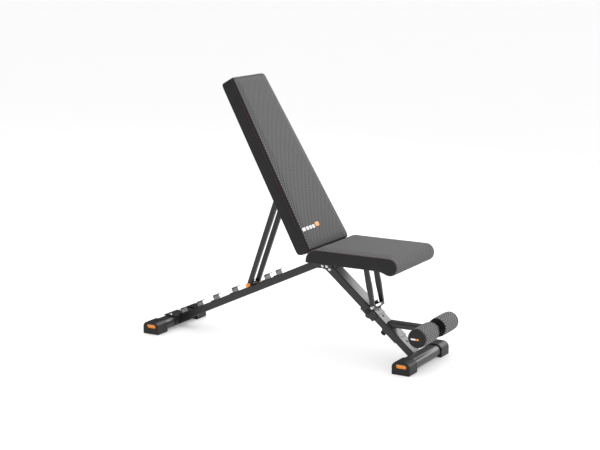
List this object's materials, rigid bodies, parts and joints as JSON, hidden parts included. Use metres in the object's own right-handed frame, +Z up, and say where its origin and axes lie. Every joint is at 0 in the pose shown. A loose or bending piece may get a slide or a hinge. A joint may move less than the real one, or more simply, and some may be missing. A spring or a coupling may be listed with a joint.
{
  "type": "decline sit up bench",
  "caption": "Adjustable decline sit up bench with a propped reclining backrest, a fixed padded seat, a telescopic front leg and foam foot rollers.",
  "frame": {"origin": "on the floor, in the middle of the bench's overall footprint", "axes": "+Z up, +X forward from the backrest towards the foot rollers, +Y to the left of someone facing forward"},
  "size_m": [1.235, 0.344, 1.0372],
  "materials": {
    "dark_paint": "satin",
    "cap_plastic": "matte",
    "orange_plastic": "satin",
    "bolt_steel": "satin",
    "upholstery": "matte",
    "board": "matte",
    "foam": "matte"
  },
  "bodies": {
    "frame": {"rear_base_tube": "dark_paint", "rear_end_caps": "cap_plastic", "rear_cap_inlays": "orange_plastic", "main_rail": "dark_paint", "ladder_hooks": "dark_paint", "rail_end_plug": "cap_plastic", "prop_rod_middle": "dark_paint", "rear_saddle": "dark_paint", "saddle_bolts": "bolt_steel", "bracket_cheeks": "dark_paint", "frame_bolts": "bolt_steel", "frame_nuts": "bolt_steel", "spacer_sleeves": "dark_paint", "hinge_sleeve": "dark_paint", "backrest_hinge_bolt": "bolt_steel", "backrest_hinge_nut": "bolt_steel", "upper_leg": "dark_paint", "leg_collar": "dark_paint", "collar_studs": "cap_plastic", "leg_pin_housing": "dark_paint", "strut_bracket": "dark_paint", "strut_rod": "bolt_steel", "seat_struts": "dark_paint", "seat_tube": "dark_paint", "seat_pad": "upholstery", "seat_board": "board", "seat_tabs": "dark_paint", "seat_screws": "bolt_steel"},
    "backrest": {"backrest_pad": "upholstery", "backrest_board": "board", "backrest_tube": "dark_paint", "backrest_end_plugs": "cap_plastic", "backrest_tabs": "dark_paint", "backrest_screws": "bolt_steel", "hinge_plates": "dark_paint", "prop_bolt": "bolt_steel", "prop_nut": "bolt_steel"},
    "prop": {"prop_legs": "dark_paint", "prop_rod_ends": "dark_paint", "prop_end_caps": "orange_plastic"},
    "lower_leg": {"lower_leg": "dark_paint", "front_base_tube": "dark_paint", "front_end_caps": "cap_plastic", "front_cap_inlays": "orange_plastic"},
    "leg_pin": {"leg_pull_pin": "bolt_steel", "leg_pin_knob": "cap_plastic"},
    "foot_holder": {"holder_sleeve": "dark_paint", "holder_arm": "dark_paint", "arm_end_plug": "cap_plastic", "roller_bar": "bolt_steel", "roller_retainers": "bolt_steel", "holder_pin_housing": "dark_paint"},
    "foot_pin": {"holder_pull_pin": "bolt_steel", "holder_pin_knob": "cap_plastic"},
    "roller_right": {"roller_core_right": "cap_plastic", "roller_foam_right": "foam", "roller_discs_right": "cap_plastic"},
    "roller_left": {"roller_core_left": "cap_plastic", "roller_foam_left": "foam", "roller_discs_left": "cap_plastic"}
  },
  "joints": [
    {"name": "backrest_tilt", "type": "hinge", "parent": "frame", "child": "backrest", "pos_m": [0.102, 0, 0.376], "axis": [0, -1, 0], "range_deg": [-2, 70.23]},
    {"name": "prop_swing", "type": "hinge", "parent": "backrest", "child": "prop", "pos_m": [-0.05755, 0, 0.61842], "axis": [0, -1, 0], "range_deg": [-105.82, 3.11]},
    {"name": "leg_slide", "type": "slide", "parent": "frame", "child": "lower_leg", "axis": [0.766, 0, -0.6428], "range_m": [-0.044, 0.044], "stiffness_N_per_m": 200000},
    {"name": "leg_pin_pull", "type": "slide", "parent": "frame", "child": "leg_pin", "axis": [-0.6428, 0, -0.766], "range_m": [0, 0.01]},
    {"name": "foot_holder_slide", "type": "slide", "parent": "lower_leg", "child": "foot_holder", "axis": [0.766, 0, -0.6428], "range_m": [0, 0.044], "stiffness_N_per_m": 200000},
    {"name": "foot_pin_pull", "type": "slide", "parent": "foot_holder", "child": "foot_pin", "axis": [-0.6428, 0, -0.766], "range_m": [0, 0.01]},
    {"name": "roller_right_spin", "type": "hinge", "parent": "foot_holder", "child": "roller_right", "pos_m": [0.581, 0, 0.1385], "axis": [0, 1, 0], "continuous": true},
    {"name": "roller_left_spin", "type": "hinge", "parent": "foot_holder", "child": "roller_left", "pos_m": [0.581, 0, 0.1385], "axis": [0, 1, 0], "continuous": true}
  ],
  "couplings": [
    {"joint": "prop_swing", "follows": "backrest_tilt", "ratio": -1.5053}
  ]
}
